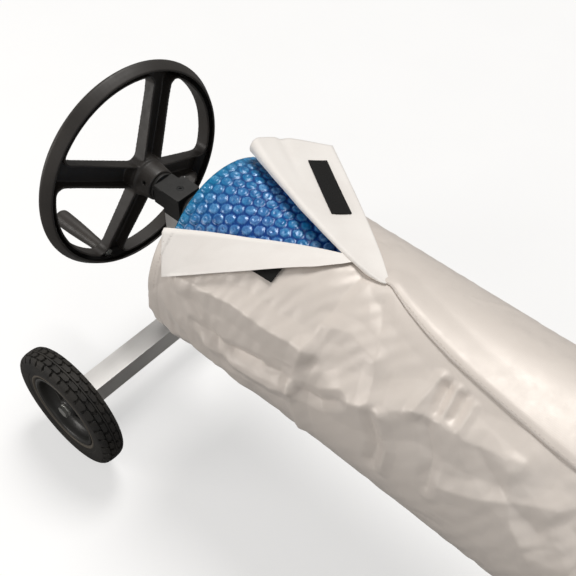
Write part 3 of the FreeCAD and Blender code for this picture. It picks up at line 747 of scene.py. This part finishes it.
    piece = shown("cover", np.array(points) * MM, faces)
    front_hold = np.clip((along_curve(BACK_EDGE, along) + 12 - angle) / 10, 0, 1) * (along > FRONT_FOLD_END)
    front_hold = np.maximum(front_hold, np.clip(1 - (angle - first) / 9, 0, 1))
    back_hold = np.maximum(np.clip(1 - (last - angle) / 14, 0, 1), np.clip((angle - 360 - 68) / 8, 0, 1))
    near_hold, far_hold = 1 - (along - 14) / 30, 1 - (COVER_LENGTH - along) / 30
    end_hold = np.clip(np.maximum(near_hold, far_hold), 0, 1)
    hold = np.maximum(np.maximum(front_hold, back_hold), end_hold)
    wrapped = angle.size
    pins = np.concatenate([hold.ravel(), np.ones(len(points) - wrapped)])
    layer = piece.data.uv_layers.new(name="cloth")
    uv = np.array(flat)[[loop.vertex_index for loop in piece.data.loops]]
    layer.data.foreach_set("uv", uv.ravel())
    for index, name in enumerate(("along", "angle", "share")):
        set_values(piece, name, [p[index] for p in place])
    settle(piece, pins)
    finer = piece.modifiers.new("finer", "SUBSURF")
    finer.levels = finer.render_levels = 1
    finer.boundary_smooth = "PRESERVE_CORNERS"
    apply_modifiers(piece)
    mesh = piece.data
    refine(mesh)
    crease_cover(mesh)
    mesh.materials.append(M["cover_fabric"])
    mesh.materials.append(M["cover_inside"])
    thick = piece.modifiers.new("fabric", "SOLIDIFY")
    thick.thickness = 0.7 * MM
    thick.offset = -1
    thick.material_offset = 1
    smooth(piece)
    apply_modifiers(piece)
    add_stitches(piece)
    stand_in(piece, "cover_sleeve", "stands")
    return piece


def add_stitches(cover):
    """Rows of lock stitches in the end hems and along the lapped edge, as small ridges of thread."""
    tree = BVHTree.FromObject(cover, bpy.context.evaluated_depsgraph_get())
    pitch, half, wide, high = 8.0, 2.7, 0.55, 0.7
    rows = []
    for along, low, high_angle in ((HEM - 5, FRONT_FOLD[0][1] + 6, BACK_FOLD[0][1] + 350),
                                   (COVER_LENGTH - HEM + 5, FRONT_EDGE[-1][1] + 6, BACK_EDGE[-1][1] + 354)):
        turns = np.arange(low, high_angle, pitch / PER_DEGREE)
        rows.append((np.full(turns.shape, along), turns))
    lengthwise = np.arange(BACK_FOLD_END + 40, COVER_LENGTH - HEM, pitch)
    rows.append((lengthwise, along_curve(BACK_EDGE, lengthwise) - 5 / PER_DEGREE))
    work = bmesh.new()
    work.from_mesh(cover.data)
    for row_along, row_angle in rows:
        outside = on_sleeve(row_along, row_angle, np.full(row_along.shape, 40.0)) * MM
        a = np.radians(row_angle)
        inward = np.stack([np.zeros(len(a)), -np.cos(a), -np.sin(a)], -1)
        hits = [tree.ray_cast(Vector(start), Vector(way)) for start, way in zip(outside, inward)]
        for one, two in zip(hits, hits[1:]):
            if one[0] is None or two[0] is None or (two[0] - one[0]).length > 2 * pitch * MM:
                continue
            forward = (two[0] - one[0]).normalized()
            up = one[1]
            side = forward.cross(up).normalized()
            tips = [work.verts.new(one[0] + forward * (sign * half * MM)) for sign in (-1, 1)]
            waist = [work.verts.new(one[0] + side * (x * wide * MM) + up * (y * high * MM))
                     for x, y in ((-1, -0.1), (0, 1), (1, -0.1))]
            for k in range(3):
                n = (k + 1) % 3
                for tip, order in ((tips[0], 1), (tips[1], -1)):
                    work.faces.new((tip, waist[k], waist[n])[::order])
    work.to_mesh(cover.data)
    work.free()


def make_patch(name, node, corners, surface, thickness):
    """A strip of hook-and-loop tape laid on a surface, from its four corners (along, angle)."""
    across, down = 14, 40
    c = np.array(corners, float)
    u, v = np.meshgrid(np.linspace(0, 1, across + 1), np.linspace(0, 1, down + 1))
    u, v = u[..., None], v[..., None]
    place = (c[0] * (1 - u) + c[1] * u) * (1 - v) + (c[3] * (1 - u) + c[2] * u) * v
    points = surface(place[..., 0], place[..., 1])
    width = across + 1
    faces = [(j * width + i, j * width + i + 1, (j + 1) * width + i + 1, (j + 1) * width + i)
             for j in range(down) for i in range(across)]
    piece = shown(name, points.reshape(-1, 3) * MM, faces)
    layer = piece.data.uv_layers.new(name="cloth")
    for loop in piece.data.loops:
        j, i = divmod(loop.vertex_index, width)
        layer.data[loop.index].uv = (i / across * STRIP_WIDTH * MM, j / down * STRIP_LENGTH * MM)
    piece.data.materials.append(M["hook_and_loop"])
    thick = piece.modifiers.new("pile", "SOLIDIFY")
    thick.thickness = thickness * MM
    thick.offset = 0
    apply_modifiers(piece)
    smooth(piece, 40)
    stand_in(piece, node, "stands")


def patches(cover):
    """The hook strip on the folded-back corner and the loop strip half under the other one."""
    tree = BVHTree.FromObject(cover, bpy.context.evaluated_depsgraph_get())
    a = math.radians(LIFT_ANGLE)
    down = Vector((0, -math.cos(a), -math.sin(a)))
    stand_off = 1.6

    def on_flap(along, angle):
        flat = on_back_flap(along, angle, np.full(np.shape(along), 60.0))
        found = np.zeros(flat.shape)
        for index in np.ndindex(flat.shape[:-1]):
            hit = tree.ray_cast(Vector(flat[index]) * MM, down)[0]
            found[index] = np.array(hit / MM - down * stand_off if hit else flat[index])
        return found

    def on_front(along, angle):
        off = creased(along, angle) + broad_shape(along, angle) + layer_off(along, angle)
        return on_sleeve(along, angle, off + stand_off)

    middle_along, middle_angle = HOOK_STRIP_MIDDLE
    half_length, half_width = HOOK_STRIP_HALF
    turn = math.radians(HOOK_STRIP_TURN)
    corners = []
    for x, y in ((-1, -1), (-1, 1), (1, 1), (1, -1)):
        lx, ly = x * half_length, y * half_width
        corners.append((middle_along + lx * math.cos(turn) - ly * math.sin(turn),
                        middle_angle - (lx * math.sin(turn) + ly * math.cos(turn)) / PER_DEGREE))
    make_patch("hook_strip", "cover_hook_patch", corners, on_flap, 1.8)
    make_patch("loop_strip", "cover_loop_patch", LOOP_STRIP_CORNERS, on_front, 1.6)


# ---------- blanket
def make_blanket():
    """Roll of bubble film: raised oval bubbles where it can be seen, and wavy layered ends."""
    around, first, last = 44, ROLL_LOW.x / MM, ROLL_HIGH.x / MM
    rows = around * 8
    row_pitch, along_pitch = 22.3, 19.6
    film_r, bubble_h, bubble_half = 152.2, 4.0, (9.4, 8.8)
    seen_end, far_seen = first + 400, last - 40
    x = np.concatenate([np.arange(first, seen_end, 2.5), np.linspace(seen_end, far_seen, 30),
                        np.arange(far_seen + 3, last, 3.0), [last]])
    theta = np.arange(rows) * 2 * math.pi / rows
    arc = theta * film_r
    grid_x, grid_arc = np.meshgrid(x, arc)
    line = np.round((grid_x - first - 10) / along_pitch)
    off_x = grid_x - first - 10 - line * along_pitch
    stagger = (line % 2) * row_pitch / 2
    off_arc = (grid_arc - stagger + row_pitch / 2) % row_pitch - row_pitch / 2
    rng = np.random.default_rng(5)
    cells = (64, 128)
    cell = (line.astype(int) % cells[0],
            np.floor((grid_arc - stagger) / row_pitch + 0.5).astype(int) % cells[1])
    fullness = rng.uniform(0.62, 1.0, cells)[cell]
    dimple = rng.uniform(0.45, 1.0, cells)[cell]
    side_x, side_arc = rng.uniform(-2.6, 2.6, cells)[cell], rng.uniform(-2.6, 2.6, cells)[cell]
    d2 = (off_x / bubble_half[0]) ** 2 + (off_arc / bubble_half[1]) ** 2
    sunk = np.exp(-(((off_x - side_x) / 4.2) ** 2 + ((off_arc - side_arc) / 3.6) ** 2))
    dome = np.maximum(0, 1 - d2 ** 2) ** 0.5 * fullness * (1 - dimple * sunk)
    detail = ((grid_x < seen_end) | (grid_x > far_seen)).astype(float)
    turn = theta[:, None]
    ripple = 0.8 * np.sin(grid_x / 47 + 2.1 * turn) + 0.6 * np.sin(5 * turn - grid_x / 81)
    r = film_r + ripple * 0.6 + bubble_h * dome * detail
    top = dome * detail

    layers, core_r = 21, 41.5
    depth = 7.0
    pitch = (film_r - core_r) / layers
    end_r, end_in = [], []
    for k in range(layers, 0, -1):
        outer = core_r + k * pitch
        end_r += [outer - 1.2, outer - pitch * 0.45, outer - pitch + 0.9]
        end_in += [0.0, 1.0, 0.5]
    end_r, end_in = np.array(end_r), np.array(end_in)
    points, value, near_edge, rings = [], [], [], []

    def ring_of(xs, radii, shade):
        rings.append(len(points))
        for k in range(rows):
            y, z = radii[k] * math.cos(theta[k]), REEL_Z / MM + radii[k] * math.sin(theta[k])
            points.append((xs[k], y, z))
            value.append(shade[k])
            near_edge.append(math.exp(-min(xs[k] - first, last - xs[k]) / 26))

    def end_rings(edge, inward, order):
        for k in order:
            wave = 1.6 * np.sin(9 * theta + k * 0.7) + 1.2 * np.sin(23 * theta - k * 1.3)
            slack = 0.8 * np.sin(5 * theta + k * 0.9)
            ring_of(edge + inward * (end_in[k] * depth + 2.0 + wave * (end_in[k] < 0.9)), end_r[k] + slack,
                    np.full(rows, 0.42 if end_in[k] < 0.9 else 0.0))

    end_rings(first, 1, range(len(end_r) - 1, -1, -1))
    for i in range(len(x)):
        ring_of(np.full(rows, x[i]), r[:, i], top[:, i])
    end_rings(last, -1, range(len(end_r)))
    faces = []
    for one, two in zip(rings, rings[1:] + rings[:1]):
        faces += ring_faces(one, two, rows)
    piece = shown("bubble_roll", np.array(points) * MM, faces)
    set_values(piece, "bubble", value)
    set_values(piece, "edge", near_edge)
    piece.data.materials.append(M["blanket_film"])
    smooth(piece)
    stand_in(piece, "blanket_roll", "reel")


# ---------- tyres
TYRE_OUTLINE = ((0, 143.9), (5, 143.8), (9, 143.5), (14, 142.6), (18, 141.2), (21.5, 138.4), (24, 134.8),
                (25.8, 131), (26.7, 126), (26.9, 121), (26.4, 114), (25.6, 108), (25.2, 106.5),
                (24.2, 105.5), (24.0, 102), (23.2, 98), (23.4, 96.6), (24.0, 95.6), (23.8, 93.8),
                (22.6, 92.6), (20.6, 90.2), (20.0, 88.4))


def make_tyre(node, body):
    """Pneumatic tyre: smooth carcass with raised lugs, a thin centre rib and a lighter bead ring."""
    low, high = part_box(node)
    centre = (low + high) / 2 / MM
    outline = np.array(TYRE_OUTLINE, float)
    steps = np.concatenate([[0], np.cumsum(np.hypot(*np.diff(outline, axis=0).T))])

    def skin(t, sink):
        """(across, radius) at a distance from the centre line round the outline, sunk below it."""
        sign = np.sign(t) if t else 1.0
        t = abs(t)
        y, r = np.interp(t, steps, outline[:, 0]), np.interp(t, steps, outline[:, 1])
        y2, r2 = np.interp(t + 0.5, steps, outline[:, 0]), np.interp(t + 0.5, steps, outline[:, 1])
        size = math.hypot(y2 - y, r2 - r) or 1.0
        ny, nr = -(r2 - r) / size, (y2 - y) / size
        return sign * (y - ny * sink), r - nr * sink

    points, bead, faces = [], [], []

    def add(y, r, angle, pale=0.0):
        points.append((centre.x + r * math.cos(angle), centre.y + y, centre.z + r * math.sin(angle)))
        bead.append(pale)
        return len(points) - 1

    tread_end, groove = 33.0, 4.6
    marks = [0, 6, 12, 17, 22, 26, 29, tread_end - 1.5, tread_end, tread_end + 1.5]
    marks += [t for t in steps if t > tread_end + 2]
    side = [skin(t, groove * min(1, max(0, (tread_end - t) / 3))) for t in marks]
    pale = [1.0 if 91.5 < r < 97.5 else 0.0 for _, r in side]
    closed = [(-y, r, p) for (y, r), p in zip(side[:0:-1], pale[:0:-1])] + \
             [(y, r, p) for (y, r), p in zip(side, pale)]
    inner = [(19.8, 84.4, 0), (-19.8, 84.4, 0)]
    section = closed + inner
    turns = 96
    for k in range(turns):
        for y, r, p in section:
            add(y, r, 2 * math.pi * k / turns, p)
    size = len(section)
    for k in range(turns):
        faces += ring_faces(k * size, (k + 1) % turns * size, size)

    def lug(rows, sign):
        """One raised block. rows are (t, left, right): its edges in mm along the tread at each t."""
        sunk = groove + 0.8
        grid = []
        for t, left, right in rows:
            y, r = skin(sign * t, 0.0)
            grid.append([add(y, r, mid + s / r) for s in (left, (left + right) / 2, right)])
        base = []
        for index, (t, left, right) in enumerate(rows):
            draft = 1.0
            t_base = t + (-draft if index == 0 else draft if index == len(rows) - 1 else 0)
            y, r = skin(sign * t_base, sunk)
            base.append([add(y, r, mid + s / r) for s in (left - draft, (left + right) / 2, right + draft)])
        for a, b in zip(grid, grid[1:]):
            for i in (0, 1):
                faces.append((a[i], a[i + 1], b[i + 1], b[i]))
        rim = [row[0] for row in grid] + [grid[-1][1]] + [row[2] for row in grid[::-1]] + [grid[0][1]]
        foot = [row[0] for row in base] + [base[-1][1]] + [row[2] for row in base[::-1]] + [base[0][1]]
        for i in range(len(rim)):
            j = (i + 1) % len(rim)
            faces.append((rim[i], rim[j], foot[j], foot[i]))
        for a, b in zip(base, base[1:]):
            for i in (0, 1):
                faces.append((a[i], b[i], b[i + 1], a[i + 1]))

    pitches = 34
    half = math.pi * 2 * 142 / pitches / 2
    for k in range(pitches):
        for sign, lead in ((1, 0.0), (-1, 0.5)):
            mid = 2 * math.pi * (k + lead) / pitches
            lug([(3.0, -half + 5.5, half - 4.0), (7.5, -half + 1.8, half - 7.0),
                 (12.5, -half + 5.5, half - 3.4)], sign)
            mid += math.pi / pitches
            lug([(15.5, -half + 4.5, half - 4.5), (19.5, -half + 2.2, half - 2.2),
                 (24.0, -half + 4.2, half - 4.2), (29.0, -half + 4.6, half - 4.6),
                 (tread_end + 1.5, -half + 5.4, half - 5.4)], sign)
    rib = [(-1.5, 0.0), (1.5, 0.0), (2.3, groove + 0.8), (-2.3, groove + 0.8)]
    start = len(points)
    for k in range(turns):
        for t, sink in rib:
            y, r = skin(t, sink)
            add(y, r, 2 * math.pi * k / turns)
    for k in range(turns):
        faces += ring_faces(start + k * len(rib), start + (k + 1) % turns * len(rib), len(rib))

    piece = shown(node + "_treaded", np.array(points) * MM, faces)
    mesh = bmesh.new()
    mesh.from_mesh(piece.data)
    bmesh.ops.recalc_face_normals(mesh, faces=mesh.faces)
    mesh.to_mesh(piece.data)
    mesh.free()
    set_values(piece, "bead", bead)
    piece.data.materials.append(M["tyre_rubber"])
    smooth(piece, 32)
    stand_in(piece, node, body)


# ---------- stage
CAMERA_ANGLES = (39.04, 49.51, -2.93)      # azimuth, elevation and roll in degrees
CAMERA_LENS = 50.87
CAMERA_PLACE = (HANDWHEEL_PLANE_X + 1.0552, -0.7801, 1.6291)


def make_stage():
    """Pale floor, soft studio lights and the camera."""
    half = 8.0
    corners = [(-half, -half, 0), (half, -half, 0), (half, half, 0), (-half, half, 0)]
    floor = shown("floor", corners, [(0, 1, 2, 3)])
    s = Shader("floor")
    to_camera = s.add("ShaderNodeLightPath").outputs["Is Camera Ray"]
    pale = s.mix(s.noise(3), (0.40, 0.40, 0.40), (0.43, 0.43, 0.43))
    glow = s.math("MULTIPLY", to_camera, 0.55)
    base = s.mix(to_camera, (0.22, 0.22, 0.22), pale)
    floor.data.materials.append(s.finish(Base_Color=base, Roughness=0.9,
                                         Emission_Color=(1.0, 0.995, 0.985, 1), Emission_Strength=glow))

    world = bpy.data.worlds.new("studio")
    world.use_nodes = True
    nodes, links = world.node_tree.nodes, world.node_tree.links
    background = nodes["Background"]
    background.inputs["Color"].default_value = (1.0, 0.99, 0.98, 1)
    strength = nodes.new("ShaderNodeMapRange")
    strength.inputs["To Min"].default_value, strength.inputs["To Max"].default_value = 0.30, 0.95
    links.new(nodes.new("ShaderNodeLightPath").outputs["Is Camera Ray"], strength.inputs["Value"])
    links.new(strength.outputs["Result"], background.inputs["Strength"])
    bpy.context.scene.world = world
    bpy.context.scene.view_settings.view_transform = "Standard"

    def area(name, place, aim, size, power, colour=(1, 1, 1)):
        light = added(name, bpy.data.lights.new(name, "AREA"))
        light.data.shape = "RECTANGLE"
        light.data.size, light.data.size_y = size
        light.data.energy = power
        light.data.color = colour
        light.location = place
        light.rotation_euler = (Vector(aim) - Vector(place)).to_track_quat("-Z", "Y").to_euler()

    key = added("key", bpy.data.lights.new("key", "SUN"))
    key.data.energy = 2.1
    key.data.angle = math.radians(24)
    key.data.color = (1.0, 0.985, 0.965)
    key.rotation_euler = Vector((0.12, -0.42, -1.0)).to_track_quat("-Z", "Y").to_euler()
    area("side", (-2.9, -2.6, 1.4), (-0.9, 0, 0.4), (1.5, 1.5), 40, (1.0, 0.97, 0.94))
    area("front", (1.4, -3.2, 2.6), (-0.3, 0, 0.4), (2.2, 1.6), 16)

    azimuth, elevation, roll = (math.radians(angle) for angle in CAMERA_ANGLES)
    back = Vector((math.sin(azimuth) * math.cos(elevation), -math.cos(azimuth) * math.cos(elevation),
                   math.sin(elevation)))
    right = (-back).cross(Vector((0, 0, 1))).normalized()
    up = back.cross(right)
    level = Matrix((right, up, back)).transposed()
    camera = added("camera", bpy.data.cameras.new("camera"))
    camera.data.lens = CAMERA_LENS
    camera.data.sensor_width = 36
    camera.rotation_euler = (level @ Matrix.Rotation(-roll, 3, "Z")).to_euler()
    camera.location = CAMERA_PLACE
    bpy.context.scene.camera = camera


dress_cad_nodes()
rounded_copy("handwheel", 1.5 * MM, 3, M["handwheel_plastic"], "reel")
patches(make_cover())
make_blanket()
for end in ("near", "far"):
    for side in ("front", "back"):
        make_tyre(f"{end}_{side}_tyre", f"{end}_{side}_wheel")
make_stage()

bpy.context.view_layer.update()
